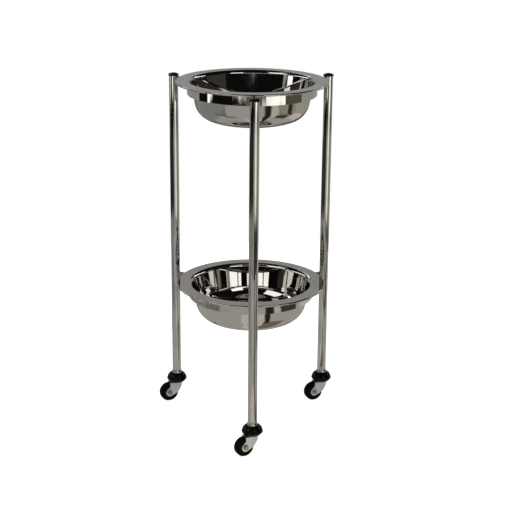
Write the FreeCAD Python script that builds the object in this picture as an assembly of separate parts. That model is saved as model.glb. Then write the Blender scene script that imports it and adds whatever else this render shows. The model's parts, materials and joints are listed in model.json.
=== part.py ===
# Wash basin stand: three upright tubes on swivel castors, welded to two flat-bar rings.
# Each ring carries a flanged basin that lifts out. Millimetres, Z up, the floor at Z = 0.
# Everything is drawn about the stand's own axis, and moved to the box's centre at the end.
import FreeCAD, Part
from math import asin, atan2, cos, degrees, hypot, pi, radians, sin, tan
import os

vector = FreeCAD.Vector
up = vector(0, 0, 1)

# Stand
rim_height = 852.0          # floor to the top of the upper basin's flange, and of the caps
lower_rim_height = 357.0    # floor to the top of the lower basin's flange
basin_to_leg_gap = 25.0     # basin's edge to each tube
leg_angles = {"front": -90.0, "right": 30.0, "left": 150.0}
running_gap = 0.06          # radial clearance of a pin that turns in its hole

# Tubes
tube_diameter = 22.0
tube_wall = 1.2

# Caps in the tube tops
cap_overhang = 1.7          # cap's edge past the tube
cap_head_height = 7.0
cap_side_height = 2.6       # straight side under the dome
cap_edge_radius = 1.2
cap_plug_length = 15.0

# Rings of flat bar, stood on edge
flange_overhang = 28.0      # basin's edge past the ring
ring_bar_height = 30.0
ring_bar_thickness = 3.0
ring_edge_radius = 0.6

# Arms from the rings to the tubes
arm_height = 18.0
arm_thickness = 4.0
arm_drop = 17.0             # flange's top to the arm's middle

# Basins, one sheet with a rolled edge
basin_diameter = 360.0
basin_depth = 98.5          # top of the flange to the underside of the floor
basin_sheet = 1.0
bead_diameter = 4.4         # rolled edge
bead_turn = 250.0           # degrees that the edge is rolled through
basin_clearance = 0.4       # ring's inside to the start of the bend under the flange
flange_bend_radius = 5.0    # on the underside
wall_lean = 11.0            # degrees from upright
floor_corner_radius = 45.0  # on the outside
floor_edge_slope = 20.0     # degrees, where the corner meets the dished floor
floor_flat_radius = 50.0

# Castor wheels
wheel_diameter = 48.0
wheel_width = 16.0
tyre_inner_diameter = 32.0
tyre_shoulder_radius = 3.6
tyre_side_lean = 0.7        # how much narrower each side of the tyre is at its seat
hub_boss_diameter = 17.0
hub_boss_gap = 0.6          # boss to the fork's cheek
hub_web_thickness = 6.0
hub_rim_thickness = 3.0
hub_rim_inset = 0.2         # tyre's seat past the rim on each side
bush_diameter = 9.0
bush_end_gap = 0.2          # bush's end to the fork's cheek
axle_diameter = 6.0
castor_trail = 22.5         # swivel axis to the axle
# Degrees, from the swivel axis to the axle, seen from above, as each castor stands
castor_headings = {"front": 208.0, "right": 201.0, "left": 202.0}

# Fork
fork_sheet = 1.8
wheel_side_gap = 1.0        # tyre to the fork's cheek
fork_bend_radius = 1.2      # on the inside
crown_clearance = 0.5       # top of the wheel to the underside of the crown
crown_brim = 2.0           # ball groove to the crown's front edge
crown_tail = 22.0           # crown behind the swivel axis, over the wheel
cheek_knee_drop = 21.5      # crown's underside to the corner of the cheek's front edge
cheek_knee_radius = 10.0
cheek_waist_drop = 9.5      # crown's underside to the corner of the cheek's back edge
cheek_boss_radius = 10.5

# Axle bolt and nut
bolt_flange_diameter = 13.0
bolt_flange_thickness = 1.2
hexagon_width = 10.0        # across the flats
hexagon_chamfer_angle = 30.0
bolt_head_height = 3.4
nut_height = 4.4
bolt_tip_length = 1.4       # bolt past the nut
bolt_chamfer = 0.6
bolt_turns = {"front": 0.0, "right": 180.0, "left": 180.0}  # which cheek each bolt goes in from

# Ball race between the crown and the cup
ball_diameter = 2.4
ball_count = 12
race_wall = 1.15            # stem's pin to the ball groove
race_play = 0.05            # ball to groove
crown_to_cup = 1.1
cup_brim = 2.05             # ball groove to the inside of the skirt
cup_sheet = 1.8
cup_skirt_thickness = 0.8
cup_skirt_gap = 0.6         # skirt to the crown

# Stem
stem_pin_diameter = 8.0
rivet_diameter = 13.0
rivet_height = 2.2
rivet_play = 0.1            # rivet to the crown
stem_neck_diameter = 14.0
stem_neck_length = 6.3
stem_shoulder_overhang = 1.0    # shoulder's edge past the tube
stem_shoulder_thickness = 2.5
stem_diameter = 10.0
stem_length = 39.0          # above the shoulder
stem_chamfer = 1.0
socket_length = 44.0

# Bumper
bumper_diameter = 51.0
bumper_gap = 0.5            # crown's top to the bumper's underside
bumper_base_diameter = 40.0
bumper_base_round = 0.6
bumper_cavity_gap = 1.0     # stem's shoulder to the wall of the cavity
bumper_nose_rise = 8.0      # underside to the widest line
bumper_nose_half = 1.6      # half the height of the rounded nose
bumper_nose_depth = 0.5
bumper_height = 24.7
bumper_top_wall = 2.4       # tube to the upper edge
bumper_bulge = 2.6          # how far the upper side swells out of the straight line

# Ferrule round the tube's foot
ferrule_height = 14.5
ferrule_inset = 0.2         # bumper's upper edge past the ferrule's foot
ferrule_lip = 2.0
ferrule_top_wall = 0.4
ferrule_hollow = 1.1        # how far the flare sinks in from the straight line

# Across the stand, worked out from the values above
tube_radius = tube_diameter / 2
tube_bore_radius = tube_radius - tube_wall
ring_radius = basin_diameter / 2 - flange_overhang
ring_bore_radius = ring_radius - ring_bar_thickness
leg_circle_radius = basin_diameter / 2 + basin_to_leg_gap + tube_radius

# Across each castor
wheel_radius = wheel_diameter / 2
tyre_inner_radius = tyre_inner_diameter / 2
half_tyre_seat = wheel_width / 2 - tyre_side_lean
axle_radius = axle_diameter / 2
bush_radius = bush_diameter / 2
cheek_inner = wheel_width / 2 + wheel_side_gap
cheek_outer = cheek_inner + fork_sheet
stem_pin_radius = stem_pin_diameter / 2
stem_radius = stem_diameter / 2
shoulder_radius = tube_radius + stem_shoulder_overhang
groove_radius = ball_diameter / 2 + race_play
race_radius = stem_pin_radius + race_wall + groove_radius
crown_lead = race_radius + groove_radius + crown_brim
skirt_inner_radius = race_radius + groove_radius + cup_brim
bumper_top_radius = tube_radius + bumper_top_wall

# Upwards from the floor
axle_height = wheel_radius
crown_underside = wheel_diameter + crown_clearance
crown_top = crown_underside + fork_sheet
bumper_base_height = crown_top + bumper_gap
bumper_top_height = bumper_base_height + bumper_height
ball_height = crown_top + crown_to_cup / 2
cup_underside = crown_top + crown_to_cup
cup_top = cup_underside + cup_sheet
shoulder_underside = cup_top + stem_neck_length
tube_foot_height = shoulder_underside + stem_shoulder_thickness
cap_seat_height = rim_height - cap_head_height


def line_and_arc_wire(start, steps, plane):
    # A step is a point for a straight run, or a pair (point on the way, end) for an arc.
    edges = []
    here = start
    for step in steps:
        if isinstance(step[0], tuple):
            middle, end = step
            edges.append(Part.Arc(plane(here), plane(middle), plane(end)).toShape())
        else:
            end = step
            edges.append(Part.LineSegment(plane(here), plane(end)).toShape())
        here = end
    edges.append(Part.LineSegment(plane(here), plane(start)).toShape())
    return Part.Wire(edges)


def section_plane(point):
    # (radius, height) on the half plane that is turned about Z
    return vector(point[0], 0, point[1])


def turned(start, steps):
    # Turns a closed section about Z
    face = Part.Face(line_and_arc_wire(start, steps, section_plane))
    return face.revolve(vector(0, 0, 0), up, 360)


def turned_box(inner, outer, bottom, top):
    return turned((inner, bottom), [(outer, bottom), (outer, top), (inner, top)])


def bowed_middle(start, end, bow):
    # Middle of the straight line from start to end, moved by bow to its left
    run = hypot(end[0] - start[0], end[1] - start[1])
    across = (-(end[1] - start[1]) / run, (end[0] - start[0]) / run)
    return ((start[0] + end[0]) / 2 + across[0] * bow, (start[1] + end[1]) / 2 + across[1] * bow)


def on_circle(centre, radius, angle):
    return (centre[0] + radius * cos(radians(angle)), centre[1] + radius * sin(radians(angle)))


def on_side(shape):
    # Lays a shape that was turned about Z on its side, its top towards +Y
    return shape.rotated(vector(0, 0, 0), vector(1, 0, 0), -90)


def hexagon_prism(width, bottom, top):
    # The corners of the outer end are turned off, as on a machined head
    corner_radius = width / 2 / cos(pi / 6)
    corners = [vector(*on_circle((0, 0), corner_radius, 60 * i), bottom) for i in range(6)]
    prism = Part.Face(Part.makePolygon(corners, True)).extrude(up * (top - bottom))
    slope = tan(radians(hexagon_chamfer_angle))
    outside = corner_radius * 2
    turned_head = turned((0, bottom), [(outside, bottom), (outside, top - (outside - width / 2) * slope),
                                       (width / 2, top), (0, top)])
    return prism.common(turned_head)


def make_leg():
    return turned_box(tube_bore_radius, tube_radius, tube_foot_height, cap_seat_height)


def make_cap():
    radius = tube_radius + cap_overhang
    dome_rise = cap_head_height - cap_side_height - cap_edge_radius
    dome_edge = radius - cap_edge_radius
    dome_radius = (dome_edge ** 2 + dome_rise ** 2) / 2 / dome_rise
    half_turn = asin(dome_edge / dome_radius) / 2
    dome_edge_height = rim_height - dome_rise
    dome_middle = (dome_radius * sin(half_turn), rim_height - dome_radius * (1 - cos(half_turn)))
    edge_centre = (dome_edge, dome_edge_height - cap_edge_radius)
    return turned((0, cap_seat_height - cap_plug_length),
                  [(tube_bore_radius, cap_seat_height - cap_plug_length),
                   (tube_bore_radius, cap_seat_height),
                   (radius, cap_seat_height),
                   (radius, edge_centre[1]),
                   (on_circle(edge_centre, cap_edge_radius, 45), (dome_edge, dome_edge_height)),
                   (dome_middle, (0, rim_height))])


def make_ring(rim):
    top = rim - basin_sheet
    bottom = top - ring_bar_height
    corners = [((ring_radius, bottom), -1, 1, 315), ((ring_radius, top), -1, -1, 45),
               ((ring_bore_radius, top), 1, -1, 135), ((ring_bore_radius, bottom), 1, 1, 225)]
    steps = []
    for (radius, height), inward, upward, facing in corners:
        centre = (radius + inward * ring_edge_radius, height + upward * ring_edge_radius)
        before = on_circle(centre, ring_edge_radius, facing - 45)
        after = on_circle(centre, ring_edge_radius, facing + 45)
        steps += [before, (on_circle(centre, ring_edge_radius, facing), after)]
    return turned(steps[0], steps[1:])


def make_arm(rim):
    # Drawn along +X from the ring to a tube at (leg_circle_radius, 0), its ends cut to both curves
    bottom = rim - arm_drop - arm_height / 2
    inner = ring_bore_radius
    bar = Part.makeBox(leg_circle_radius - inner, arm_thickness, arm_height,
                       vector(inner, -arm_thickness / 2, bottom))
    ring_space = Part.makeCylinder(ring_radius, arm_height, vector(0, 0, bottom))
    tube_space = Part.makeCylinder(tube_radius, arm_height, vector(leg_circle_radius, 0, bottom))
    return bar.cut(ring_space).cut(tube_space)


def make_basin(rim):
    # The inside surface runs flange, bend, leaning wall, corner, dished floor, flat floor.
    # The wall's length and the dish's radius follow from the depth and the flat floor's radius.
    lean = radians(wall_lean)
    slope = radians(floor_edge_slope)
    bend_inside = flange_bend_radius + basin_sheet
    corner_inside = floor_corner_radius - basin_sheet
    bend_centre = (ring_bore_radius - basin_clearance, -bend_inside)
    wall_top = (bend_centre[0] - bend_inside * cos(lean), bend_centre[1] + bend_inside * sin(lean))
    across = wall_top[0] - corner_inside * (cos(lean) - sin(slope)) - floor_flat_radius
    down = wall_top[1] + corner_inside * (sin(lean) - cos(slope)) + basin_depth - basin_sheet
    divisor = sin(lean) * (1 - cos(slope)) - cos(lean) * sin(slope)
    wall_length = (across * (1 - cos(slope)) - down * sin(slope)) / divisor
    dish_radius = (sin(lean) * down - cos(lean) * across) / divisor
    wall_foot = (wall_top[0] - wall_length * sin(lean), wall_top[1] - wall_length * cos(lean))
    corner_centre = (wall_foot[0] - corner_inside * cos(lean), wall_foot[1] + corner_inside * sin(lean))
    dish_centre = (floor_flat_radius, dish_radius - basin_depth + basin_sheet)
    bead_radius = bead_diameter / 2
    bead_centre = (basin_diameter / 2 - bead_radius, -bead_radius)
    bead_end = 90 - bead_turn

    def surface(offset):
        # Named places of the sheet's surface, offset outwards from the inside surface
        bend = bend_inside - offset
        corner = corner_inside + offset
        dish = dish_radius + offset
        bead = bead_radius - offset
        return {
            "bead_end": on_circle(bead_centre, bead, bead_end),
            "bead_side": on_circle(bead_centre, bead, 90 - bead_turn / 2),
            "flange_edge": (bead_centre[0], -offset),
            "bend_start": (bend_centre[0], -offset),
            "bend_side": on_circle(bend_centre, bend, 135 - wall_lean / 2),
            "wall_top": on_circle(bend_centre, bend, 180 - wall_lean),
            "wall_foot": on_circle(corner_centre, corner, -wall_lean),
            "corner_side": on_circle(corner_centre, corner, -(wall_lean + 90 - floor_edge_slope) / 2),
            "dish_edge": on_circle(corner_centre, corner, floor_edge_slope - 90),
            "dish_side": on_circle(dish_centre, dish, floor_edge_slope / 2 - 90),
            "flat_edge": (floor_flat_radius, -basin_depth + basin_sheet - offset),
            "middle": (0, -basin_depth + basin_sheet - offset)}

    inside = surface(0)
    outside = surface(basin_sheet)
    section = turned(
        inside["middle"],
        [inside["flat_edge"],
         (inside["dish_side"], inside["dish_edge"]),
         (inside["corner_side"], inside["wall_foot"]),
         inside["wall_top"],
         (inside["bend_side"], inside["bend_start"]),
         inside["flange_edge"],
         (inside["bead_side"], inside["bead_end"]),
         outside["bead_end"],
         (outside["bead_side"], outside["flange_edge"]),
         outside["bend_start"],
         (outside["bend_side"], outside["wall_top"]),
         outside["wall_foot"],
         (outside["corner_side"], outside["dish_edge"]),
         (outside["dish_side"], outside["flat_edge"]),
         outside["middle"]])
    return section.translated(up * rim)


def make_ferrule():
    top = bumper_top_height + ferrule_height
    foot = bumper_top_radius - ferrule_inset
    flare_foot = (foot, bumper_top_height + ferrule_lip)
    flare_top = (tube_radius + ferrule_top_wall, top)
    return turned((tube_radius, bumper_top_height),
                  [(foot, bumper_top_height), flare_foot,
                   (bowed_middle(flare_foot, flare_top, ferrule_hollow), flare_top),
                   (tube_radius, top)])


def make_bumper():
    radius = bumper_diameter / 2
    base_radius = bumper_base_diameter / 2
    cavity_radius = shoulder_radius + bumper_cavity_gap
    nose_radius = radius - bumper_nose_depth
    nose_height = bumper_base_height + bumper_nose_rise
    nose_top = (nose_radius, nose_height + bumper_nose_half)
    nose_foot = (nose_radius, nose_height - bumper_nose_half)
    top_edge = (bumper_top_radius, bumper_top_height)
    return turned((tube_radius, bumper_top_height),
                  [(tube_radius, tube_foot_height),
                   (cavity_radius, tube_foot_height),
                   (cavity_radius, bumper_base_height),
                   (base_radius - bumper_base_round, bumper_base_height),
                   (base_radius, bumper_base_height + bumper_base_round),
                   nose_foot,
                   ((radius, nose_height), nose_top),
                   (bowed_middle(nose_top, top_edge, -bumper_bulge), top_edge)])


def race_ring():
    # Space that the balls run in, cut into the crown and the cup
    return Part.makeTorus(race_radius, groove_radius, vector(0, 0, ball_height))


def make_bearing_cup():
    skirt_bottom = crown_top + cup_skirt_gap
    outside = skirt_inner_radius + cup_skirt_thickness
    cup = turned((stem_pin_radius, cup_underside),
                 [(skirt_inner_radius, cup_underside),
                  (skirt_inner_radius, skirt_bottom),
                  (outside, skirt_bottom),
                  (outside, cup_top),
                  (stem_pin_radius, cup_top)])
    return cup.cut(race_ring())


def make_stem():
    rivet_top = crown_underside - rivet_play
    rivet_bottom = rivet_top - rivet_height
    stem_top = tube_foot_height + stem_length
    return turned((0, rivet_bottom),
                  [(rivet_diameter / 2 - rivet_height / 2, rivet_bottom),
                   (rivet_diameter / 2, rivet_bottom + rivet_height / 2),
                   (rivet_diameter / 2, rivet_top),
                   (stem_pin_radius, rivet_top),
                   (stem_pin_radius, cup_top),
                   (stem_neck_diameter / 2, cup_top),
                   (stem_neck_diameter / 2, shoulder_underside),
                   (shoulder_radius, shoulder_underside),
                   (shoulder_radius, tube_foot_height),
                   (stem_radius, tube_foot_height),
                   (stem_radius, stem_top - stem_chamfer),
                   (stem_radius - stem_chamfer, stem_top),
                   (0, stem_top)])


def make_stem_socket():
    # Sleeve that is closed over the stem's tip
    socket_top = tube_foot_height + socket_length
    bore_top = tube_foot_height + stem_length + stem_chamfer
    return turned((stem_radius, tube_foot_height),
                  [(tube_bore_radius, tube_foot_height), (tube_bore_radius, socket_top),
                   (0, socket_top), (0, bore_top), (stem_radius, bore_top)])


def make_balls():
    balls = []
    for i in range(ball_count):
        centre = vector(*on_circle((0, 0), race_radius, 360 * i / ball_count), ball_height)
        balls.append(Part.makeSphere(ball_diameter / 2, centre))
    return Part.makeCompound(balls)


def tangent_point(outside, centre, radius, side):
    # Where the line from an outside point touches a circle, on its left (1) or right (-1)
    distance = hypot(outside[0] - centre[0], outside[1] - centre[1])
    towards = atan2(outside[1] - centre[1], outside[0] - centre[0])
    turn = towards + side * (pi / 2 - asin(radius / distance))
    return (centre[0] + radius * cos(turn), centre[1] + radius * sin(turn))


def rounded_channel(half_width, top, radius, reach):
    # Long block along X from the floor up, with its two upper edges rounded
    middle = radius * cos(pi / 4)
    flat = half_width - radius
    shoulder = top - radius
    wire = line_and_arc_wire(
        (-half_width, 0),
        [(half_width, 0),
         (half_width, shoulder),
         ((flat + middle, shoulder + middle), (flat, top)),
         (-flat, top),
         ((-flat - middle, shoulder + middle), (-half_width, shoulder))],
        lambda point: vector(-reach, point[0], point[1]))
    return Part.Face(wire).extrude(vector(2 * reach, 0, 0))


def through_hole(radius, centre, direction):
    # Round cutter, one fork's width long each way from its centre
    return Part.makeCylinder(radius, 4 * cheek_outer, centre - direction * 2 * cheek_outer, direction)


def make_fork():
    # A bent channel along the trail, trimmed to the outline of its cheeks
    axle = (castor_trail, axle_height)
    above = crown_top + fork_sheet
    knee = (-crown_lead, crown_underside - cheek_knee_drop)
    waist = (crown_tail, crown_underside - cheek_waist_drop)
    boss_front = tangent_point(knee, axle, cheek_boss_radius, 1)
    boss_back = tangent_point(waist, axle, cheek_boss_radius, -1)
    slant = atan2(boss_front[1] - knee[1], boss_front[0] - knee[0])
    cut_back = cheek_knee_radius * tan((pi / 2 + slant) / 2 - slant)
    upright_end = (knee[0], knee[1] + cut_back)
    slant_start = (knee[0] + cut_back * cos(slant), knee[1] + cut_back * sin(slant))
    knee_centre = (knee[0] + cheek_knee_radius, upright_end[1])
    knee_middle = on_circle(knee_centre, cheek_knee_radius, 225 + degrees(slant) / 2)
    corners = [upright_end, (knee_middle, slant_start), boss_front, boss_back, waist,
               (crown_tail, above)]

    def cheek_plane(point):
        return vector(point[0], -cheek_outer, point[1])

    outline = Part.Face(line_and_arc_wire((-crown_lead, above), corners, cheek_plane))
    trimmed = outline.extrude(vector(0, 2 * cheek_outer, 0))
    boss = Part.makeCylinder(cheek_boss_radius, 2 * cheek_outer,
                             vector(castor_trail, -cheek_outer, axle_height), vector(0, 1, 0))
    trimmed = trimmed.fuse(boss).removeSplitter()
    reach = castor_trail + 2 * cheek_boss_radius
    outer = rounded_channel(cheek_outer, crown_top, fork_bend_radius + fork_sheet, reach)
    inner = rounded_channel(cheek_inner, crown_underside, fork_bend_radius, reach)
    fork = outer.cut(inner).common(trimmed)
    stem_hole = through_hole(stem_pin_radius + running_gap, vector(0, 0, crown_top), up)
    axle_hole = through_hole(axle_radius, vector(castor_trail, 0, axle_height), vector(0, 1, 0))
    return fork.cut(stem_hole).cut(axle_hole).cut(race_ring())


def make_axle_bolt():
    head_bottom = cheek_outer + bolt_flange_thickness
    nut_end = cheek_outer + bolt_flange_thickness + nut_height
    tip = -nut_end - bolt_tip_length
    shank = turned((0, tip),
                   [(axle_radius - bolt_chamfer, tip),
                    (axle_radius, tip + bolt_chamfer),
                    (axle_radius, cheek_outer),
                    (bolt_flange_diameter / 2, cheek_outer),
                    (bolt_flange_diameter / 2, head_bottom),
                    (0, head_bottom)])
    head = hexagon_prism(hexagon_width, head_bottom, head_bottom + bolt_head_height)
    return shank.fuse(head).removeSplitter()


def make_axle_nut():
    # Drawn upright, then turned over to the other cheek
    flange_top = cheek_outer + bolt_flange_thickness
    flange = turned_box(0, bolt_flange_diameter / 2, cheek_outer, flange_top)
    body = hexagon_prism(hexagon_width, flange_top, flange_top + nut_height)
    bore = through_hole(axle_radius, vector(0, 0, flange_top), up)
    nut = flange.fuse(body).removeSplitter().cut(bore)
    return nut.rotated(vector(0, 0, 0), vector(1, 0, 0), 180)


def make_wheel_bush():
    half = cheek_inner - bush_end_gap
    return turned_box(axle_radius + running_gap, bush_radius, -half, half)


def make_wheel_hub():
    boss = hub_boss_diameter / 2
    rim_inside = tyre_inner_radius - hub_rim_thickness
    half_boss = cheek_inner - hub_boss_gap
    half_web = hub_web_thickness / 2
    half_rim = half_tyre_seat - hub_rim_inset
    upper = [(rim_inside, half_rim), (rim_inside, half_web), (boss, half_web), (boss, half_boss),
             (bush_radius, half_boss)]
    lower = [(radius, -height) for radius, height in reversed(upper)]
    return turned((tyre_inner_radius, -half_rim), [(tyre_inner_radius, half_rim)] + upper + lower)


def make_tyre():
    half_tread = wheel_width / 2
    shoulder_centre = (wheel_radius - tyre_shoulder_radius, half_tread - tyre_shoulder_radius)
    lower_centre = (shoulder_centre[0], -shoulder_centre[1])
    return turned(
        (tyre_inner_radius, -half_tyre_seat),
        [(shoulder_centre[0], -half_tread),
         (on_circle(lower_centre, tyre_shoulder_radius, -45), (wheel_radius, lower_centre[1])),
         (wheel_radius, shoulder_centre[1]),
         (on_circle(shoulder_centre, tyre_shoulder_radius, 45), (shoulder_centre[0], half_tread)),
         (tyre_inner_radius, half_tyre_seat)])


def at_axle(shape):
    return on_side(shape).translated(vector(castor_trail, 0, axle_height))


def stand_pieces():
    pieces = {
        "upper_ring": make_ring(rim_height),
        "lower_ring": make_ring(lower_rim_height),
        "upper_basin": make_basin(rim_height),
        "lower_basin": make_basin(lower_rim_height)}
    upright = {"leg": make_leg(), "cap": make_cap(), "ferrule": make_ferrule(),
               "stem_socket": make_stem_socket(), "castor_stem": make_stem(),
               "bumper": make_bumper(), "bearing_cup": make_bearing_cup()}
    castor = {"fork": make_fork(), "bearing_balls": make_balls(),
              "wheel_bush": at_axle(make_wheel_bush()), "wheel_hub": at_axle(make_wheel_hub()),
              "tyre": at_axle(make_tyre())}
    fasteners = {"axle_bolt": at_axle(make_axle_bolt()), "axle_nut": at_axle(make_axle_nut())}
    arms = {"upper_arm": make_arm(rim_height), "lower_arm": make_arm(lower_rim_height)}
    origin = vector(0, 0, 0)
    for side, angle in leg_angles.items():
        foot = vector(*on_circle((0, 0), leg_circle_radius, angle), 0)
        for name, shape in upright.items():
            pieces[name + "_" + side] = shape.translated(foot)
        for name, shape in fasteners.items():
            castor[name] = shape.rotated(vector(castor_trail, 0, 0), up, bolt_turns[side])
        for name, shape in castor.items():
            pieces[name + "_" + side] = shape.rotated(origin, up, castor_headings[side]).translated(foot)
        for name, shape in arms.items():
            pieces[name + "_" + side] = shape.rotated(origin, up, angle)
    return pieces


def box_centre(pieces):
    # Middle of the whole stand's box in plan
    boxes = [shape.optimalBoundingBox(False, False) for shape in pieces.values()]
    across = min(box.XMin for box in boxes) + max(box.XMax for box in boxes)
    along = min(box.YMin for box in boxes) + max(box.YMax for box in boxes)
    return vector(across / 2, along / 2, 0)


os.makedirs("parts", exist_ok=True)
stand = stand_pieces()
centre = box_centre(stand)
for node, shape in sorted(stand.items()):
    placed = shape.translated(centre * -1)
    placed.exportStep("parts/" + node + ".step")
    print(node, len(placed.Solids), "valid" if placed.isValid() else "NOT VALID", round(placed.Volume, 1))
print("stand axis", round(-centre.x, 4), round(-centre.y, 4))
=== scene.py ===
# Wash basin stand: its finishes, small details, stage, light and camera around the fixed frame.
import json
import math
import bpy
import numpy as np
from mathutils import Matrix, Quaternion, Vector


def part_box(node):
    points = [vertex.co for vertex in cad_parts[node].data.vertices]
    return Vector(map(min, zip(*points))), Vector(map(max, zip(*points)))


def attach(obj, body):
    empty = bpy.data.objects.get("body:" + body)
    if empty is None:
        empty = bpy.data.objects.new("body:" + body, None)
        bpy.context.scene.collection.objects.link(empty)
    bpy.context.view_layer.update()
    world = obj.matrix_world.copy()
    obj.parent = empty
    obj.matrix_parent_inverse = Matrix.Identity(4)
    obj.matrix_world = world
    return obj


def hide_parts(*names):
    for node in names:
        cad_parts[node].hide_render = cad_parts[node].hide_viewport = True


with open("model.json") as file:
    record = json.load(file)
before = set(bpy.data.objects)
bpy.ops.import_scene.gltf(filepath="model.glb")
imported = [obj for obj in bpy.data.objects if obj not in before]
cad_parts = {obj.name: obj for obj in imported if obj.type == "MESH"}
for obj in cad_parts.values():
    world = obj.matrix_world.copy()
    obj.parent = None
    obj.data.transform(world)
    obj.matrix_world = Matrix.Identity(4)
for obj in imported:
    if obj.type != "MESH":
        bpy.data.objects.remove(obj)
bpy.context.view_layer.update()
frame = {"nodes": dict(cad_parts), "record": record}
nodes = frame["nodes"]
sides = ["front", "right", "left"]
levels = ["upper", "lower"]


def middle(node):
    low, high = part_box(node)
    return (low + high) / 2


def top(node):
    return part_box(node)[1].z


standAxis = middle("upper_basin")

# Camera

photoCamera = {
    "away": 3.0555,        # stand's axis to the lens along the floor
    "bearing": -91.5,      # degrees round the stand's axis
    "height": 1.3948,
    "heading": 87.93,      # degrees, which way the lens looks
    "pitch": -17.95,
    "roll": 0.58,
    "lens": 90.03,
    "sensor": 36.0}


def makeCamera(values):
    data = bpy.data.cameras.new("camera")
    data.lens = values["lens"]
    data.sensor_width = values["sensor"]
    camera = bpy.data.objects.new("camera", data)
    bpy.context.scene.collection.objects.link(camera)
    bearing = math.radians(values["bearing"])
    heading = math.radians(values["heading"])
    pitch = math.radians(values["pitch"])
    camera.location = (standAxis.x + values["away"] * math.cos(bearing),
                       standAxis.y + values["away"] * math.sin(bearing), values["height"])
    ahead = Vector((math.cos(heading) * math.cos(pitch), math.sin(heading) * math.cos(pitch),
                    math.sin(pitch)))
    camera.rotation_mode = "QUATERNION"
    level = ahead.to_track_quat("-Z", "Y")
    camera.rotation_quaternion = Quaternion(ahead, math.radians(-values["roll"])) @ level
    bpy.context.scene.camera = camera


makeCamera(photoCamera)
print("camera placed")

# Outlines in the (radius, height) plane, drawn so that the solid is on the left of the travel


def arcRun(centre, radius, start, end, steps):
    # Points of an arc from start to end degrees. Normals point away from its centre where it turns left,
    # and towards it where it turns right.
    angle = np.radians(np.linspace(start, end, steps + 1))
    away = np.stack([np.cos(angle), np.sin(angle)], 1)
    return np.array(centre) + radius * away, away * (1.0 if end > start else -1.0)


def lineRun(start, end, steps=1):
    # Points of a straight run, with its normal turned a quarter turn to the right of the travel
    share = np.linspace(0, 1, steps + 1)[:, None]
    along = np.subtract(end, start) / np.linalg.norm(np.subtract(end, start))
    points = np.array(start) * (1 - share) + np.array(end) * share
    return points, np.tile([along[1], -along[0]], (steps + 1, 1))


def joinRuns(*runs):
    # Runs one after the other. Where one starts at the end of the last, the shared point is kept once.
    points, normals = [runs[0][0]], [runs[0][1]]
    for nextPoints, nextNormals in runs[1:]:
        shared = np.allclose(points[-1][-1], nextPoints[0], atol=1e-7)
        points.append(nextPoints[1:] if shared else nextPoints)
        normals.append(nextNormals[1:] if shared else nextNormals)
    return np.concatenate(points), np.concatenate(normals)


def roundedOutline(corners, steps):
    # Closed outline through the corners (radius, height, rounding). Each corner is an arc of its own
    # radius that touches both straight sides, starting one tangent length before the corner.
    spots = np.array([corner[:2] for corner in corners], float)
    runs = []
    for i, corner in enumerate(corners):
        back = spots[i - 1] - spots[i]
        on = spots[(i + 1) % len(spots)] - spots[i]
        back /= np.linalg.norm(back)
        on /= np.linalg.norm(on)
        half = math.acos(np.clip(back @ on, -1, 1)) / 2
        bisector = (back + on) / np.linalg.norm(back + on)
        centre = spots[i] + bisector * corner[2] / math.sin(half)
        tangent = corner[2] / math.tan(half)
        start = spots[i] + back * tangent - centre
        left = back[0] * on[1] - back[1] * on[0] < 0
        first = math.degrees(math.atan2(start[1], start[0]))
        sweep = (180 - math.degrees(2 * half)) * (1 if left else -1)
        runs.append(arcRun(centre, corner[2], first, first + sweep, steps))
    return joinRuns(*runs)


# Surfaces


def meshPiece(name, points, faces, normals=None):
    mesh = bpy.data.meshes.new(name)
    mesh.from_pydata(points.tolist(), [], faces)
    mesh.shade_smooth()
    if normals is not None:
        mesh.normals_split_custom_set_from_vertices(normals.tolist())
    piece = bpy.data.objects.new(name, mesh)
    bpy.context.scene.collection.objects.link(piece)
    return piece


def gridFaces(rows, columns, closeColumns=True):
    # Quads of a grid whose rows close on themselves, and whose columns close too where asked
    row = np.arange(rows)
    column = np.arange(columns if closeColumns else columns - 1)
    row, column = [a.ravel() for a in np.meshgrid(row, column, indexing="ij")]
    nextRow = (row + 1) % rows
    nextColumn = (column + 1) % columns
    quads = np.stack([row * columns + column, nextRow * columns + column,
                      nextRow * columns + nextColumn, row * columns + nextColumn], 1)
    return quads.tolist()


def turnedPiece(name, outline, turns, place):
    # Each outline point (r, h) goes round the axis: x = r cos a, y = r sin a, z = h, at every angle a.
    # An outline that starts and ends on the axis gets one point at each pole.
    points, normals = outline
    poles = np.isclose(points[0, 0], 0)
    inner, innerNormals = (points[1:-1], normals[1:-1]) if poles else (points, normals)
    angle = np.linspace(0, 2 * np.pi, turns, endpoint=False)[:, None]
    radius, height = inner[:, 0][None, :], inner[:, 1][None, :]
    grid = np.stack([radius * np.cos(angle), radius * np.sin(angle), height + 0 * angle], 2)
    grid = grid.reshape(-1, 3)
    outward, upward = innerNormals[:, 0][None, :], innerNormals[:, 1][None, :]
    facing = np.stack([outward * np.cos(angle), outward * np.sin(angle), upward + 0 * angle], 2)
    facing = facing.reshape(-1, 3)
    faces = gridFaces(turns, len(inner), closeColumns=not poles)
    if poles:
        ends = np.array([[0, 0, points[0, 1]], [0, 0, points[-1, 1]]])
        first, last = len(grid), len(grid) + 1
        grid = np.concatenate([grid, ends])
        facing = np.concatenate([facing, [[0, 0, normals[0, 1]], [0, 0, normals[-1, 1]]]])
        row = np.arange(turns) * len(inner)
        nextRow = np.roll(row, -1)
        faces += np.stack([nextRow, row, np.full(turns, first)], 1).tolist()
        rowEnd, nextRowEnd = row + len(inner) - 1, nextRow + len(inner) - 1
        faces += np.stack([rowEnd, nextRowEnd, np.full(turns, last)], 1).tolist()
    return meshPiece(name, place(grid, 1), faces, place(facing, 0))


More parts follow.
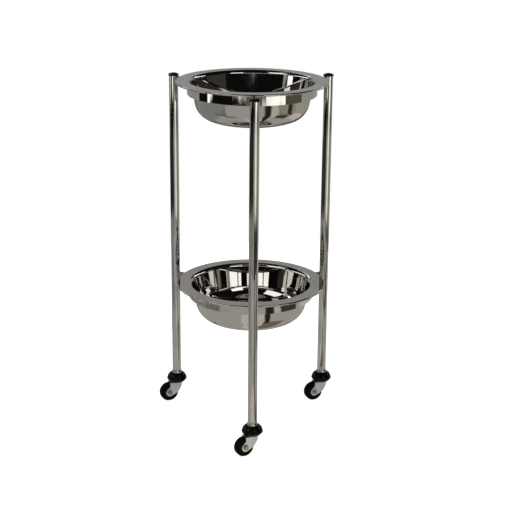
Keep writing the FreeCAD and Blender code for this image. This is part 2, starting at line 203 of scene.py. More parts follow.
def upright(x, y, z=0.0):
    # Places a turned piece on an upright axis. Points are moved and normals aren't.
    def place(points, isPoint):
        return points + np.array([x, y, z]) * isPoint
    return place


def dress(piece, material, body, slotName, *replaced):
    piece.data.materials.clear()
    piece.data.materials.append(material)
    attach(piece, body)
    if replaced:
        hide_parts(*replaced)


# Shader helpers


def addNode(tree, kind, inputs=None, **settings):
    # Adds a node. A socket given as an input is linked, and a plain value is set.
    node = tree.nodes.new(kind)
    for name, value in settings.items():
        setattr(node, name, value)
    for name, value in (inputs or {}).items():
        if isinstance(value, bpy.types.NodeSocket):
            tree.links.new(value, node.inputs[name])
        else:
            node.inputs[name].default_value = value
    return node


def math2(tree, operation, first, second=0.0, clamp=False):
    made = addNode(tree, "ShaderNodeMath", {0: first, 1: second}, operation=operation, use_clamp=clamp)
    return made.outputs[0]


def vectorMath(tree, operation, first, second=(0, 0, 0)):
    return addNode(tree, "ShaderNodeVectorMath", {0: first, 1: second}, operation=operation).outputs[0]


def noise(tree, vector, scale, detail, **more):
    # Soft noise from 0 to 1 in three dimensions
    return addNode(tree, "ShaderNodeTexNoise",
                   {"Vector": vector, "Scale": scale, "Detail": detail, **more}).outputs["Fac"]


def reflected(tree, rays):
    # 1 for rays that come by way of polished steel or glass
    return math2(tree, "MAXIMUM", rays["Is Glossy Ray"], rays["Is Transmission Ray"])


def spread(tree, value, low, high, outLow, outHigh):
    # Maps low..high to outLow..outHigh, with eased ends
    ends = {"From Min": low, "From Max": high, "To Min": outLow, "To Max": outHigh}
    made = addNode(tree, "ShaderNodeMapRange", {"Value": value, **ends}, interpolation_type="SMOOTHSTEP")
    return made.outputs["Result"]


def mixColour(tree, factor, first, second):
    return addNode(tree, "ShaderNodeMix", {0: factor, 6: first, 7: second}, data_type="RGBA").outputs[2]


def startGroup(name, inputs, outputs):
    # inputs and outputs: {socket name: type and, for an input, its value}
    group = bpy.data.node_groups.new(name, "ShaderNodeTree")
    for socket, (kind, value) in inputs.items():
        made = group.interface.new_socket(socket, in_out="INPUT", socket_type=kind)
        if value is not None:
            made.default_value = value
    for socket, kind in outputs.items():
        group.interface.new_socket(socket, in_out="OUTPUT", socket_type=kind)
    return group, group.nodes.new("NodeGroupInput").outputs, group.nodes.new("NodeGroupOutput").inputs


def useGroup(tree, group, inputs):
    return addNode(tree, "ShaderNodeGroup", inputs, node_tree=group).outputs


vectorType, numberType = "NodeSocketVector", "NodeSocketFloat"


def makeWipedFilm():
    # Cloudy film left by wiping: broad soft noise, broken up by finer noise, eased to a mask
    group, given, made = startGroup(
        "wiped film",
        {"Vector": (vectorType, None), "Scale": (numberType, 14.0), "Strength": (numberType, 0.03)},
        {"Mask": numberType, "Roughness Shift": numberType})
    broad = noise(group, given["Vector"], given["Scale"], 3.0, Distortion=1.4)
    fine = noise(group, given["Vector"], math2(group, "MULTIPLY", given["Scale"], 6.0), 4.0)
    both = math2(group, "ADD", math2(group, "MULTIPLY", broad, 0.75), math2(group, "MULTIPLY", fine, 0.25))
    mask = spread(group, both, 0.42, 0.62, 0.0, 1.0)
    group.links.new(mask, made["Mask"])
    group.links.new(math2(group, "MULTIPLY", mask, given["Strength"]), made["Roughness Shift"])
    return group


def makePolishLines():
    # Fine lines left by a polishing belt: noise that is stretched along Z
    group, given, made = startGroup(
        "polish lines",
        {"Vector": (vectorType, None), "Across": (numberType, 900.0), "Along": (numberType, 12.0)},
        {"Height": numberType})
    stretch = addNode(group, "ShaderNodeCombineXYZ",
                      {0: given["Across"], 1: given["Across"], 2: given["Along"]})
    moved = vectorMath(group, "MULTIPLY", given["Vector"], stretch.outputs[0])
    group.links.new(noise(group, moved, 1.0, 3.0), made["Height"])
    return group


def makeSpinningLines():
    # Rings left by spinning and polishing on a lathe: noise of the distance along the wall,
    # which is near enough the distance from the axis less the height
    group, given, made = startGroup(
        "spinning lines",
        {"Vector": (vectorType, None), "Lines": (numberType, 700.0)},
        {"Height": numberType})
    apart = addNode(group, "ShaderNodeSeparateXYZ", {0: given["Vector"]}).outputs
    squares = [math2(group, "MULTIPLY", apart[i], apart[i]) for i in (0, 1)]
    away = math2(group, "SQRT", math2(group, "ADD", *squares))
    run = math2(group, "MULTIPLY", math2(group, "SUBTRACT", away, apart[2]), given["Lines"])
    rings = addNode(group, "ShaderNodeTexNoise", {"W": run, "Scale": 1.0, "Detail": 4.0},
                    noise_dimensions="1D")
    group.links.new(rings.outputs["Fac"], made["Height"])
    return group


def makeEdgeWear():
    # Where a rounded normal leaves the true one, there is an edge. Noise breaks the line up.
    group, given, made = startGroup(
        "edge wear",
        {"Vector": (vectorType, None), "Reach": (numberType, 0.0006), "Breaks": (numberType, 900.0)},
        {"Mask": numberType})
    rounded = addNode(group, "ShaderNodeBevel", {"Radius": given["Reach"]}, samples=4).outputs[0]
    true = addNode(group, "ShaderNodeNewGeometry").outputs["Normal"]
    agree = addNode(group, "ShaderNodeVectorMath", {0: rounded, 1: true}, operation="DOT_PRODUCT")
    edge = spread(group, agree.outputs["Value"], 0.99, 0.86, 0.0, 1.0)
    breaks = spread(group, noise(group, given["Vector"], given["Breaks"], 3.0), 0.35, 0.6, 0.2, 1.0)
    group.links.new(math2(group, "MULTIPLY", edge, breaks), made["Mask"])
    return group


def makeSettledDust():
    # Dust lies on what faces up, in uneven patches
    group, given, made = startGroup(
        "settled dust",
        {"Vector": (vectorType, None), "Scale": (numberType, 120.0), "Amount": (numberType, 0.3)},
        {"Mask": numberType})
    normal = addNode(group, "ShaderNodeNewGeometry").outputs["Normal"]
    facing = addNode(group, "ShaderNodeSeparateXYZ", {0: normal}).outputs[2]
    patches = noise(group, given["Vector"], given["Scale"], 6.0, Roughness=0.7)
    lying = math2(group, "MULTIPLY", spread(group, facing, 0.1, 0.95, 0.0, 1.0),
                  spread(group, patches, 0.45, 0.75, 0.0, 1.0))
    group.links.new(math2(group, "MULTIPLY", lying, given["Amount"]), made["Mask"])
    return group


wipedFilm = makeWipedFilm()
polishLines = makePolishLines()
spinningLines = makeSpinningLines()
edgeWear = makeEdgeWear()
settledDust = makeSettledDust()


def startMaterial(name, centre=(0, 0, 0), **values):
    # Returns the material, its tree, its shader and Object coordinates measured from centre
    material = bpy.data.materials.new(name)
    material.use_nodes = True
    tree = material.node_tree
    shader = tree.nodes["Principled BSDF"]
    for socket, value in values.items():
        shader.inputs[socket.replace("_", " ")].default_value = value
    coordinates = addNode(tree, "ShaderNodeTexCoord").outputs["Object"]
    moved = addNode(tree, "ShaderNodeMapping", {"Vector": coordinates, "Location": [-c for c in centre]})
    return material, tree, shader, moved.outputs[0]


def bump(tree, shader, height, distance, strength=1.0, normal=None):
    inputs = {"Height": height, "Distance": distance, "Strength": strength}
    if normal is not None:
        inputs["Normal"] = normal
    made = addNode(tree, "ShaderNodeBump", inputs).outputs[0]
    tree.links.new(made, shader.inputs["Normal"])
    return made


def startPolishedSteel(name, values, centre=(0, 0, 0)):
    # Mirror polish under a wiped film, on sheet with slow waves. Returns the waves' normal last.
    material, tree, shader, place = startMaterial(name, centre, Metallic=1.0)
    film = useGroup(tree, wipedFilm,
                    {"Vector": place, "Scale": values["filmScale"], "Strength": values["film"]})
    colour = mixColour(tree, film["Mask"], values["colour"], values["filmColour"])
    rough = math2(tree, "ADD", film["Roughness Shift"], values["roughness"])
    tree.links.new(colour, shader.inputs["Base Color"])
    tree.links.new(rough, shader.inputs["Roughness"])
    slow = bump(tree, shader, noise(tree, place, values["waves"], 1.0), values["waveHeight"])
    return material, tree, shader, place, slow


bowlSteel = {
    "colour": (0.62, 0.605, 0.58, 1), "filmColour": (0.57, 0.555, 0.53, 1),
    "roughness": 0.018, "film": 0.03, "filmScale": 9.0,
    "lines": 900.0, "lineHeight": 0.0000012, "waves": 9.0, "waveHeight": 0.00012}


def makeBowlSteel(level):
    # Spun sheet: faint rings round the bowl's own axis
    centre = (standAxis.x, standAxis.y, top(level + "_basin"))
    material, tree, shader, place, slow = startPolishedSteel(level + " bowl steel", bowlSteel, centre)
    rings = useGroup(tree, spinningLines, {"Vector": place, "Lines": bowlSteel["lines"]})
    bump(tree, shader, rings["Height"], bowlSteel["lineHeight"], normal=slow)
    return material


tubeSteel = {
    "colour": (0.63, 0.615, 0.59, 1), "filmColour": (0.58, 0.565, 0.54, 1),
    "roughness": 0.022, "film": 0.035, "filmScale": 16.0,
    "across": 700.0, "along": 6.0, "lineHeight": 0.0000012, "waves": 9.0, "waveHeight": 0.00006}


def makeTubeSteel(name):
    # Belt-polished steel: fine lines along the tube
    material, tree, shader, place, slow = startPolishedSteel(name, tubeSteel)
    lines = useGroup(tree, polishLines,
                     {"Vector": place, "Across": tubeSteel["across"], "Along": tubeSteel["along"]})
    bump(tree, shader, lines["Height"], tubeSteel["lineHeight"], normal=slow)
    return material


mouldedBlack = {
    "cap_plastic": {
        "colour": (0.004, 0.004, 0.0045, 1), "worn": (0.016, 0.016, 0.017, 1),
        "roughness": 0.16, "film": 0.12, "filmScale": 60.0, "reach": 0.0005,
        "grain": 1800.0, "grainHeight": 0.000006, "dust": 0.02, "shine": 0.28},
    "bumper_rubber": {
        "colour": (0.002, 0.002, 0.0022, 1), "worn": (0.014, 0.014, 0.015, 1),
        "roughness": 0.18, "film": 0.14, "filmScale": 40.0, "reach": 0.0006,
        "grain": 1400.0, "grainHeight": 0.00001, "dust": 0.01, "shine": 0.13},
    "tyre_rubber": {
        "colour": (0.002, 0.002, 0.002, 1), "worn": (0.016, 0.016, 0.016, 1),
        "roughness": 0.40, "film": 0.2, "filmScale": 90.0, "reach": 0.0008,
        "grain": 1600.0, "grainHeight": 0.00002, "dust": 0.008, "shine": 0.05},
    "hub_plastic": {
        "colour": (0.004, 0.004, 0.0045, 1), "worn": (0.016, 0.016, 0.016, 1),
        "roughness": 0.26, "film": 0.15, "filmScale": 70.0, "reach": 0.0004,
        "grain": 1500.0, "grainHeight": 0.00001, "dust": 0.015, "shine": 0.14},
    "socket_plastic": {
        "colour": (0.01, 0.01, 0.01, 1), "worn": (0.03, 0.03, 0.03, 1),
        "roughness": 0.45, "film": 0.1, "filmScale": 60.0, "reach": 0.0004,
        "grain": 1500.0, "grainHeight": 0.00001, "dust": 0.02, "shine": 0.4}}
scuffs = {"edgeRoughness": 0.15, "dustRoughness": 0.5, "dustColour": (0.22, 0.21, 0.19, 1)}


def makeMouldedBlack(name, values):
    # Moulded plastic or rubber: fine grain, scuffed edges, handled patches and a little dust on top
    material, tree, shader, place = startMaterial(name, Specular_IOR_Level=values["shine"])
    film = useGroup(tree, wipedFilm,
                    {"Vector": place, "Scale": values["filmScale"], "Strength": values["film"]})
    wear = useGroup(tree, edgeWear, {"Vector": place, "Reach": values["reach"]})["Mask"]
    dust = useGroup(tree, settledDust, {"Vector": place, "Amount": values["dust"]})["Mask"]
    worn = mixColour(tree, wear, values["colour"], values["worn"])
    tree.links.new(mixColour(tree, dust, worn, scuffs["dustColour"]), shader.inputs["Base Color"])
    rough = math2(tree, "ADD", film["Roughness Shift"], values["roughness"])
    rough = math2(tree, "ADD", rough, math2(tree, "MULTIPLY", wear, scuffs["edgeRoughness"]))
    dusty = math2(tree, "MULTIPLY", dust, scuffs["dustRoughness"])
    tree.links.new(math2(tree, "ADD", rough, dusty, clamp=True), shader.inputs["Roughness"])
    bump(tree, shader, noise(tree, place, values["grain"], 2.0), values["grainHeight"])
    return material


platedSteel = {
    "fork_zinc": {
        "colour": (0.80, 0.82, 0.85, 1), "second": (0.68, 0.70, 0.73, 1), "worn": (0.92, 0.92, 0.92, 1),
        "roughness": 0.34, "film": 0.12, "mottle": 260.0, "dust": 0.03},
    "axle_steel": {
        "colour": (0.50, 0.46, 0.25, 1), "second": (0.38, 0.36, 0.22, 1), "worn": (0.60, 0.58, 0.50, 1),
        "roughness": 0.30, "film": 0.12, "mottle": 420.0, "dust": 0.03},
    "castor_steel": {
        "colour": (0.50, 0.50, 0.49, 1), "second": (0.38, 0.38, 0.37, 1), "worn": (0.62, 0.62, 0.6, 1),
        "roughness": 0.26, "film": 0.10, "mottle": 500.0, "dust": 0.04},
    "weld": {
        "colour": (0.50, 0.47, 0.42, 1), "second": (0.36, 0.31, 0.26, 1), "worn": (0.62, 0.6, 0.57, 1),
        "roughness": 0.22, "film": 0.12, "mottle": 700.0, "dust": 0.03}}

# What all plated pieces share: handled film, edges, roughness of the second tone, shallow dents and grain
plate = {
    "filmScale": 70.0, "edgeReach": 0.0005, "toneRoughness": 0.08, "dentScale": 60.0, "dentHeight": 0.0016,
    "grainScale": 1500.0, "grainHeight": 0.000004}


def makePlatedSteel(name, values):
    # Zinc plate: a fine mottle of crystals in two tones, bright worn edges, dull handled patches
    material, tree, shader, place = startMaterial(name, Metallic=1.0)
    mottle = addNode(tree, "ShaderNodeTexVoronoi", {"Vector": place, "Scale": values["mottle"]})
    tone = addNode(tree, "ShaderNodeSeparateColor", {0: mottle.outputs["Color"]}).outputs[0]
    film = useGroup(tree, wipedFilm,
                    {"Vector": place, "Scale": plate["filmScale"], "Strength": values["film"]})
    wear = useGroup(tree, edgeWear, {"Vector": place, "Reach": plate["edgeReach"]})["Mask"]
    dust = useGroup(tree, settledDust, {"Vector": place, "Amount": values["dust"]})["Mask"]
    crystals = mixColour(tree, tone, values["colour"], values["second"])
    worn = mixColour(tree, wear, crystals, values["worn"])
    tree.links.new(mixColour(tree, dust, worn, scuffs["dustColour"]), shader.inputs["Base Color"])
    tree.links.new(math2(tree, "SUBTRACT", 1.0, dust), shader.inputs["Metallic"])
    rough = math2(tree, "ADD", film["Roughness Shift"], values["roughness"])
    uneven = math2(tree, "MULTIPLY", tone, plate["toneRoughness"])
    tree.links.new(math2(tree, "ADD", rough, uneven), shader.inputs["Roughness"])
    slow = bump(tree, shader, noise(tree, place, plate["dentScale"], 1.0), plate["dentHeight"])
    bump(tree, shader, noise(tree, place, plate["grainScale"], 2.0), plate["grainHeight"], normal=slow)
    return material


# Stage: a pale floor and background

stage = {
    "floorRadius": 1.5, "floorTurns": 96, "floorRoughness": 0.8, "floorShine": 0.1,
    "floorColour": (0.80, 0.80, 0.79, 1),
    "floorInSteel": (0.44, 0.425, 0.40, 1),
    "cameraLift": 0.78,              # added to the floor for the camera alone, so that it shows as white
    "roomLevel": 0.62,               # even light on what is matt
    "roomInSteel": (0.006, 0.0055, 0.005, 1),
    "roomWander": (3.5, 0.035),      # scale and amount of the noise that moves the panels' edges
    "floorWander": (4.0, 0.16),
    "panelEdge": (0.5, 0.3),         # softness of the edges, in degrees both
    "patchEdge": (2.5, 0.05)}        # in degrees and metres

# What the steel sees round the stage: azimuths and elevations from and to, in degrees, and brightness.
# A later panel covers an earlier one.
panels = {
    "farFloor": (-106, 60, -50, -12, (0.42, 0.40, 0.37, 1)),
    "farFloorLeft": (96, 256, -50, -15.8, (0.28, 0.275, 0.26, 1)),
    "farFloorRight": (-36, 10, -50, -12, (0.34, 0.32, 0.28, 1)),
    "dimFloorLeft": (110, 252, -15.8, -12.4, (0.032, 0.030, 0.026, 1)),
    "darkFar": (-88, 14, -19.4, -16.2, (0.05, 0.043, 0.033, 1)),
    "leftBehind": (98, 162, -12.4, 4, (0.34, 0.34, 0.335, 1)),
    "brownWall": (-84, -24, 12.6, 20.5, (0.058, 0.050, 0.041, 1)),
    "brownLow": (-38, 32, 4.4, 12.6, (0.052, 0.046, 0.039, 1)),
    "doorGap": (-103, -66, -11.5, 1, (0.15, 0.145, 0.075, 1)),
    "sideWall": (-30, 4, -12, 4.4, (0.11, 0.10, 0.065, 1)),
    "sideDoor": (5, 82, -20, 3, (0.38, 0.37, 0.34, 1)),
    "backWall": (58, 122, 5.6, 15, (0.34, 0.34, 0.345, 1)),
    "backWallHigh": (50, 128, 15, 21, (0.33, 0.325, 0.315, 1)),
    "farJamb": (-11, 0, -50, -19, (0.05, 0.042, 0.026, 1)),
    "windowLeft": (-126, -102, -11, 1, (1.6, 1.6, 1.6, 1)),
    "windowRight": (-67, -31, -11.5, 1, (1.6, 1.58, 1.5, 1)),
    "windowRightFoot": (-74, -38, -15.8, -11, (1.15, 1.13, 1.05, 1)),
    "slit": (-176.5, -165, -11, 9, (1.7, 1.7, 1.7, 1)),
    "leftGlow": (-179, -155, 8, 13, (0.40, 0.40, 0.39, 1)),
    "brownHigh": (-146, -72, 17.6, 28, (0.058, 0.050, 0.042, 1)),
    "sill": (-130, -67, 12.9, 16.5, (1.5, 1.5, 1.48, 1)),
    "creamPost": (-142, -129, 14.5, 21, (0.42, 0.40, 0.33, 1)),
    "upperWindowRight": (-73, -47, 19, 34, (1.9, 1.9, 1.9, 1)),
    "backWindowLeft": (128, 189, 20, 27, (2.5, 2.5, 2.5, 1)),
    "backWindowMiddle": (90, 104, 23, 27, (2.5, 2.5, 2.5, 1)),
    "backWindowRight": (16, 62, 21, 27, (2.5, 2.5, 2.5, 1)),
    "leftStrip": (-184, -172, 14, 30, (0.5, 0.49, 0.47, 1)),
    "curtain": (-170, -129, 27, 54, (1.5, 1.48, 1.4, 1)),
    "ceilingLamp": (140, 176, 54, 64, (0.45, 0.45, 0.44, 1))}

# Patches of the floor as the steel sees it: azimuths round the stand, distances from it, and brightness
floorPatches = {
    "leftShade": (-180, -147, 0.9, 2.0, (0.21, 0.20, 0.18, 1)),
    "behindLeft": (112, 180, 0.7, 2.0, (0.29, 0.285, 0.275, 1)),
    "behindRight": (56, 112, 0.7, 2.0, (0.13, 0.125, 0.12, 1)),
    "nearLight": (-112, -62, 0.0, 0.62, (0.62, 0.60, 0.55, 1)),
    "nearShade": (-66, -14, 0.0, 0.40, (0.19, 0.17, 0.13, 1)),
    "leftPatch": (-158, -128, 0.72, 0.98, (0.24, 0.23, 0.21, 1)),
    "shadowBand": (-66, -6, 0.76, 1.2, (0.06, 0.052, 0.04, 1)),
    "rightShade": (-33, 4, 1.2, 2.0, (0.21, 0.20, 0.165, 1)),
    "rightJamb": (-10, 1, 1.2, 2.0, (0.05, 0.042, 0.026, 1)),
    "rightGlow": (5, 50, 0.8, 2.0, (0.62, 0.60, 0.57, 1)),
    "frontGlow": (-52, -38, 0.8, 2.0, (0.58, 0.55, 0.46, 1)),
    "darkStreak": (-66, -53, 0.34, 2.0, (0.03, 0.02, 0.012, 1))}


def warped(tree, vector, wander):
    # Moves a vector by smooth noise, so that straight edges in the room wander
    scale, amount = wander
    clouds = addNode(tree, "ShaderNodeTexNoise", {"Vector": vector, "Scale": scale, "Detail": 2.0})
    centred = vectorMath(tree, "SUBTRACT", clouds.outputs["Color"], (0.5, 0.5, 0.5))
    return vectorMath(tree, "ADD", vector, vectorMath(tree, "MULTIPLY", centred, (amount, amount, amount)))


def overlayPatch(tree, vector, second, behind, patch, edge):
    # Lays a patch with soft edges over a colour. The vector is turned until the patch's middle is ahead,
    # so that the azimuth measured from there never wraps inside the patch.
    start, end, low, high, colour = patch
    soft, secondSoft = math.radians(edge[0]), edge[1]
    toMiddle = math.radians(-(start + end) / 2)
    turned = addNode(tree, "ShaderNodeVectorRotate", {"Vector": vector, "Angle": toMiddle},
                     rotation_type="Z_AXIS").outputs[0]
    apart = addNode(tree, "ShaderNodeSeparateXYZ", {0: turned}).outputs
    across = math2(tree, "ABSOLUTE", math2(tree, "ARCTAN2", apart[1], apart[0]))
    off = math2(tree, "ABSOLUTE", math2(tree, "SUBTRACT", second, (low + high) / 2))
    halfWidth, halfHeight = math.radians((end - start) / 2), (high - low) / 2
    inside = math2(tree, "MULTIPLY", spread(tree, across, halfWidth - soft, halfWidth + soft, 1.0, 0.0),
                   spread(tree, off, halfHeight - secondSoft, halfHeight + secondSoft, 1.0, 0.0))
    return mixColour(tree, inside, behind, colour)


def makeFloor():
    # Disc: a rim of points (r cos a, r sin a) and one at the middle
    turns = stage["floorTurns"]
    angle = np.linspace(0, 2 * np.pi, turns, endpoint=False)
    rim = np.stack([np.cos(angle), np.sin(angle), 0 * angle], 1) * stage["floorRadius"]
    points = np.concatenate([rim, [[0, 0, 0]]])
    points[:, 0] += standAxis.x
    points[:, 1] += standAxis.y
    around = np.arange(turns)
    faces = np.stack([around, np.roll(around, -1), np.full(turns, turns)], 1).tolist()
    floor = meshPiece("floor", points, faces)
    material = bpy.data.materials.new("pale floor")
    material.use_nodes = True
    tree = material.node_tree
    shader = tree.nodes["Principled BSDF"]
    shader.inputs["Base Color"].default_value = stage["floorColour"]
    shader.inputs["Roughness"].default_value = stage["floorRoughness"]
    shader.inputs["Specular IOR Level"].default_value = stage["floorShine"]
    rays = addNode(tree, "ShaderNodeLightPath").outputs
    white = addNode(tree, "ShaderNodeEmission", {"Color": (1, 1, 1, 1), "Strength": stage["cameraLift"]})
    lifted = addNode(tree, "ShaderNodeAddShader", {0: shader.outputs[0], 1: white.outputs[0]})
    position = addNode(tree, "ShaderNodeNewGeometry").outputs["Position"]
    fromAxis = vectorMath(tree, "SUBTRACT", position, (standAxis.x, standAxis.y, 0))
    spot = warped(tree, fromAxis, stage["floorWander"])
    away = addNode(tree, "ShaderNodeVectorMath", {0: spot}, operation="LENGTH").outputs["Value"]
    patched = stage["floorInSteel"]
    for patch in floorPatches.values():
        patched = overlayPatch(tree, spot, away, patched, patch, stage["patchEdge"])
    inSteel = addNode(tree, "ShaderNodeEmission", {"Color": patched, "Strength": 1.0})
    seen = addNode(tree, "ShaderNodeMixShader",
                   {0: reflected(tree, rays), 1: shader.outputs[0], 2: inSteel.outputs[0]})
    final = addNode(tree, "ShaderNodeMixShader",
                    {0: rays["Is Camera Ray"], 1: seen.outputs[0], 2: lifted.outputs[0]})
    tree.links.new(final.outputs[0], tree.nodes["Material Output"].inputs["Surface"])
    floor.data.materials.append(material)


# Bright card beside the stand, which only the lower bowl sees inside itself
card = {"from": -78, "to": -54, "steps": 12, "away": 1.45, "low": 0.69, "high": 0.84,
        "colour": (1.3, 1.3, 1.25, 1)}


def makeCard():
    # Part of an upright cylinder: (r cos a, r sin a, h) for a few angles and two heights
    angle = np.radians(np.linspace(card["from"], card["to"], card["steps"] + 1))[:, None]
    height = np.array([[card["low"], card["high"]]])
    points = np.stack([standAxis.x + card["away"] * np.cos(angle) + 0 * height,
                       standAxis.y + card["away"] * np.sin(angle) + 0 * height, height + 0 * angle], 2)
    low = np.arange(card["steps"]) * 2
    faces = np.stack([low, low + 2, low + 3, low + 1], 1).tolist()
    piece = meshPiece("reflectorCard", points.reshape(-1, 3), faces)
    material = bpy.data.materials.new("reflector card")
    material.use_nodes = True
    shader = material.node_tree.nodes["Principled BSDF"]
    shader.inputs["Base Color"].default_value = (0, 0, 0, 1)
    shader.inputs["Emission Color"].default_value = card["colour"]
    shader.inputs["Emission Strength"].default_value = 1.0
    piece.data.materials.append(material)
    piece.visible_camera = False
    piece.visible_diffuse = False
    piece.visible_shadow = False


def makeWorld():
    # White to the camera, an even soft light to what is matt, and a room with panels to what is polished
    world = bpy.data.worlds.new("room")
    bpy.context.scene.world = world
    world.use_nodes = True
    tree = world.node_tree
    tree.nodes.clear()
    rays = addNode(tree, "ShaderNodeLightPath").outputs
    direction = warped(tree, addNode(tree, "ShaderNodeTexCoord").outputs["Generated"], stage["roomWander"])
    room = stage["roomInSteel"]
    apart = addNode(tree, "ShaderNodeSeparateXYZ", {0: vectorMath(tree, "NORMALIZE", direction)}).outputs
    elevation = math2(tree, "MULTIPLY", math2(tree, "ARCSINE", apart[2]), 180 / math.pi)
    for panel in panels.values():
        room = overlayPatch(tree, direction, elevation, room, panel, stage["panelEdge"])
    even = stage["roomLevel"]
    notCamera = mixColour(tree, reflected(tree, rays), (even, even, even, 1), room)
    seen = mixColour(tree, rays["Is Camera Ray"], notCamera, (1, 1, 1, 1))
    background = addNode(tree, "ShaderNodeBackground", {"Color": seen, "Strength": 1.0})
    output = tree.nodes.new("ShaderNodeOutputWorld")
    tree.links.new(background.outputs[0], output.inputs["Surface"])


softLamp = {"place": (-1.2, -1.4, 2.6), "aimHeight": 0.4, "size": 1.6, "power": 30.0}


def makeLamp(name, values):
    data = bpy.data.lights.new(name, "AREA")
    data.shape = "DISK"
    data.size = values["size"]
    data.energy = values["power"]
    lamp = bpy.data.objects.new(name, data)
    lamp.location = values["place"]
    lamp.rotation_mode = "QUATERNION"
    aim = Vector((standAxis.x, standAxis.y, values["aimHeight"])) - Vector(values["place"])
    lamp.rotation_quaternion = aim.to_track_quat("-Z", "Y")
    lamp.visible_glossy = False
    bpy.context.scene.collection.objects.link(lamp)


makeFloor()
makeCard()
makeWorld()
makeLamp("softLamp", softLamp)
bpy.context.scene.view_settings.view_transform = "Standard"
print("stage and light made")

# Finishes for the frame's own pieces, by the record's slots

finishes = {}
for slotName, values in mouldedBlack.items():
    finishes[slotName] = makeMouldedBlack(slotName.replace("_", " "), values)
for slotName, values in platedSteel.items():
    finishes[slotName] = makePlatedSteel(slotName.replace("_", " "), values)
finishes["tube_steel"] = makeTubeSteel("tube steel")
finishes["ring_steel"] = makeTubeSteel("ring steel")
bowlFinishes = {level: makeBowlSteel(level) for level in levels}
for part in frame["record"]["subparts"]:
    node = nodes[part["node"]]
    node.data.materials.clear()
    if part["material_slot"] == "basin_steel":
        node.data.materials.append(bowlFinishes[part["node"].split("_")[0]])
    else:
        node.data.materials.append(finishes[part["material_slot"]])
print("finishes on", len(nodes), "nodes")

# Smooth copies of what mirrors the room: bowls, rings and tubes. The frame's own facets would show in them.

bowl = {
    "sheet": 0.001,
    "bead": 0.0022, "beadTurn": 250,            # rolled edge: its radius, and how far it curls in degrees
    "bendAxis": 0.15107, "bend": 0.008,         # from flange to wall: its centre's distance, and its radius
    "lean": 11, "slope": 20,                    # wall's lean and the dish's slope at its edge, in degrees
    "corner": 0.045, "flat": 0.05,              # radii of the corner from wall to dish, and of the flat floor
    "turns": 288}
bowlSteps = {"dish": 8, "underCorner": 12, "innerCorner": 14, "wall": 3, "underBend": 8, "topBend": 10,
             "curl": 10, "roll": 16}
bands = {
    "ring": {"wall": 0.003, "rounding": 0.0006, "steps": 3, "turns": 288, "slot": "ring_steel"},
    "leg": {"wall": 0.0012, "rounding": 0.0002, "steps": 3, "turns": 96, "slot": "tube_steel"}}


def bowlOutline(edge, depth):
    # Heights are measured down from the flange's top. The underside goes outwards to the rolled edge,
    # and the inside comes back. The wall's length and the dish's radius follow from the depth.
    steps = bowlSteps
    sheet, bead, flat = bowl["sheet"], bowl["bead"], bowl["flat"]
    lean, slope = math.radians(bowl["lean"]), math.radians(bowl["slope"])
    bend, corner = bowl["bend"] + sheet, bowl["corner"] - sheet
    bendCentre = (bowl["bendAxis"], -bend)
    wallTop = (bendCentre[0] - bend * math.cos(lean), bendCentre[1] + bend * math.sin(lean))
    across = wallTop[0] - corner * (math.cos(lean) - math.sin(slope)) - flat
    down = wallTop[1] + corner * (math.sin(lean) - math.cos(slope)) + depth - sheet
    divisor = math.sin(lean) * (1 - math.cos(slope)) - math.cos(lean) * math.sin(slope)
    wall = (across * (1 - math.cos(slope)) - down * math.sin(slope)) / divisor
    dish = (math.sin(lean) * down - math.cos(lean) * across) / divisor
    cornerCentre = (wallTop[0] - wall * math.sin(lean) - corner * math.cos(lean),
                    wallTop[1] - wall * math.cos(lean) + corner * math.sin(lean))
    dishCentre = (flat, dish - depth + sheet)
    beadCentre = (edge - bead, -bead)
    leanTurn, slopeTurn, beadEnd = 180 - bowl["lean"], bowl["slope"] - 90, 90 - bowl["beadTurn"]
    underDish = arcRun(dishCentre, dish + sheet, -90, slopeTurn, steps["dish"])
    underCorner = arcRun(cornerCentre, corner + sheet, slopeTurn, -bowl["lean"], steps["underCorner"])
    underBend = arcRun(bendCentre, bend - sheet, leanTurn, 90, steps["underBend"])
    curl = arcRun(beadCentre, bead - sheet, 90, beadEnd, steps["curl"])
    roll = arcRun(beadCentre, bead, beadEnd, 90, steps["roll"])
    topBend = arcRun(bendCentre, bend, 90, leanTurn, steps["topBend"])
    innerCorner = arcRun(cornerCentre, corner, -bowl["lean"], slopeTurn, steps["innerCorner"])
    innerDish = arcRun(dishCentre, dish, slopeTurn, -90, steps["dish"])
    return joinRuns(lineRun((0, -depth), underDish[0][0]), underDish, underCorner,
                    lineRun(underCorner[0][-1], underBend[0][0], steps["wall"]), underBend,
                    lineRun(underBend[0][-1], curl[0][0]), curl, lineRun(curl[0][-1], roll[0][0]), roll,
                    lineRun(roll[0][-1], topBend[0][0]), topBend,
                    lineRun(topBend[0][-1], innerCorner[0][0], steps["wall"]), innerCorner, innerDish,
                    lineRun(innerDish[0][-1], (0, sheet - depth)))


def makeSmoothBowl(level):
    node = level + "_basin"
    low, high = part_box(node)
    outline = bowlOutline((high.x - low.x) / 2, high.z - low.z)
    centre = middle(node)
    piece = turnedPiece(level + "_bowl_sheet", outline, bowl["turns"], upright(centre.x, centre.y, high.z))
    dress(piece, bowlFinishes[level], node, "basin_steel", node)


def makeSmoothBand(node, band):
    # Tube or ring with its true radius and height, its four edges broken by a small rounding
    low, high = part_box(node)
    outer = (high.x - low.x) / 2
    inner, rounding = outer - band["wall"], band["rounding"]
    outline = roundedOutline([(inner, low.z, rounding), (outer, low.z, rounding),
                              (outer, high.z, rounding), (inner, high.z, rounding)], band["steps"])
    centre = middle(node)
    piece = turnedPiece(node + "_band", outline, band["turns"], upright(centre.x, centre.y))
    dress(piece, finishes[band["slot"]], "stand_frame", band["slot"], node)


for level in levels:
    makeSmoothBowl(level)
    makeSmoothBand(level + "_ring", bands["ring"])
for side in sides:
    makeSmoothBand("leg_" + side, bands["leg"])
print("smooth copies made")

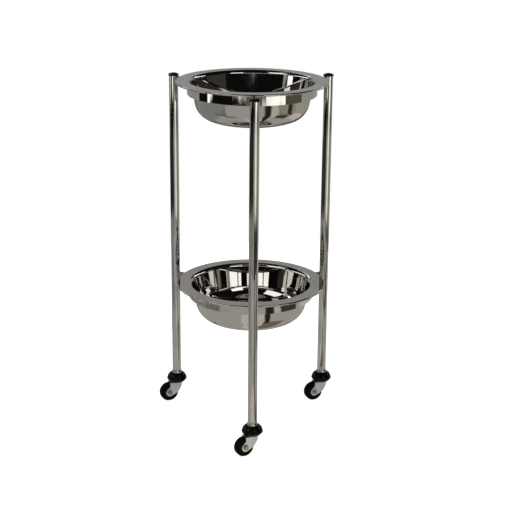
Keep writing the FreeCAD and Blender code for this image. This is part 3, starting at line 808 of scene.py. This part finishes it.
# Weld beads round both ends of every arm

weld = {
    "halfThickness": 0.002, "ringGap": 0.0002, "corner": 0.0008, "cornerPoints": 12, "smallTurn": 0.01,
    "radius": 0.0013, "flatten": 0.9, "ripple": 0.11, "pitch": 0.0017, "around": 150, "section": 12}


def makeWeld(name, middleSpot, outward, height):
    # The bead's middle line goes round the arm's section, a rectangle with rounded corners, at distance s.
    # Its radius swells with s: r(1 + k cos(2 pi s / pitch)), as the puddles of a weld do.
    # A corner point that lies right between two corners goes with the second, by the small turn.
    half = np.array([weld["halfThickness"], height / 2])
    corner = weld["corner"]
    turn = np.linspace(0, 2 * np.pi, weld["cornerPoints"], endpoint=False)
    past = turn + weld["smallTurn"]
    quarter = np.sign(np.stack([np.cos(past), np.sin(past)], 1))
    spots = np.stack([np.cos(turn), np.sin(turn)], 1) * corner + quarter * (half - corner)
    closed = np.concatenate([spots, spots[:1]])
    run = np.concatenate([[0], np.cumsum(np.linalg.norm(np.diff(closed, axis=0), axis=1))])
    s = np.linspace(0, run[-1], weld["around"], endpoint=False)
    line = np.stack([np.interp(s, run, closed[:, 0]), np.interp(s, run, closed[:, 1])], 1)
    inside = np.clip(line, -(half - corner), half - corner)
    away = (line - inside) / np.linalg.norm(line - inside, axis=1)[:, None]
    swell = weld["radius"] * (1 + weld["ripple"] * np.cos(2 * np.pi * s / weld["pitch"]))
    angle = np.linspace(0, 2 * np.pi, weld["section"], endpoint=False)
    reach = swell[:, None] * np.cos(angle)[None, :]
    depth = swell[:, None] * np.sin(angle)[None, :] * weld["flatten"]
    flat = line[:, None, :] + away[:, None, :] * reach[:, :, None]
    ahead = np.array([math.cos(outward), math.sin(outward), 0])
    sideways = np.array([-ahead[1], ahead[0], 0])
    points = (np.array(middleSpot) + flat[:, :, :1] * sideways + flat[:, :, 1:] * np.array([0, 0, 1])
              + depth[:, :, None] * ahead)
    piece = meshPiece(name, points.reshape(-1, 3), gridFaces(weld["around"], weld["section"]))
    dress(piece, finishes["weld"], "stand_frame", "ring_steel")


def makeWelds():
    for level in levels:
        ringLow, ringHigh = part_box(level + "_ring")
        ringEdge = (ringHigh.x - ringLow.x) / 2
        for side in sides:
            armLow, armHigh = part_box(level + "_arm_" + side)
            leg = middle("leg_" + side)
            legLow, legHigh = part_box("leg_" + side)
            toLeg = Vector((leg.x - standAxis.x, leg.y - standAxis.y))
            outward = math.atan2(toLeg.y, toLeg.x)
            ends = {"ring": ringEdge + weld["ringGap"], "leg": toLeg.length - (legHigh.x - legLow.x) / 2}
            for end, distance in ends.items():
                spot = (standAxis.x + distance * math.cos(outward),
                        standAxis.y + distance * math.sin(outward), (armLow.z + armHigh.z) / 2)
                makeWeld("weld_" + end + "_" + level + "_" + side, spot, outward, armHigh.z - armLow.z)


makeWelds()
print("weld beads made")
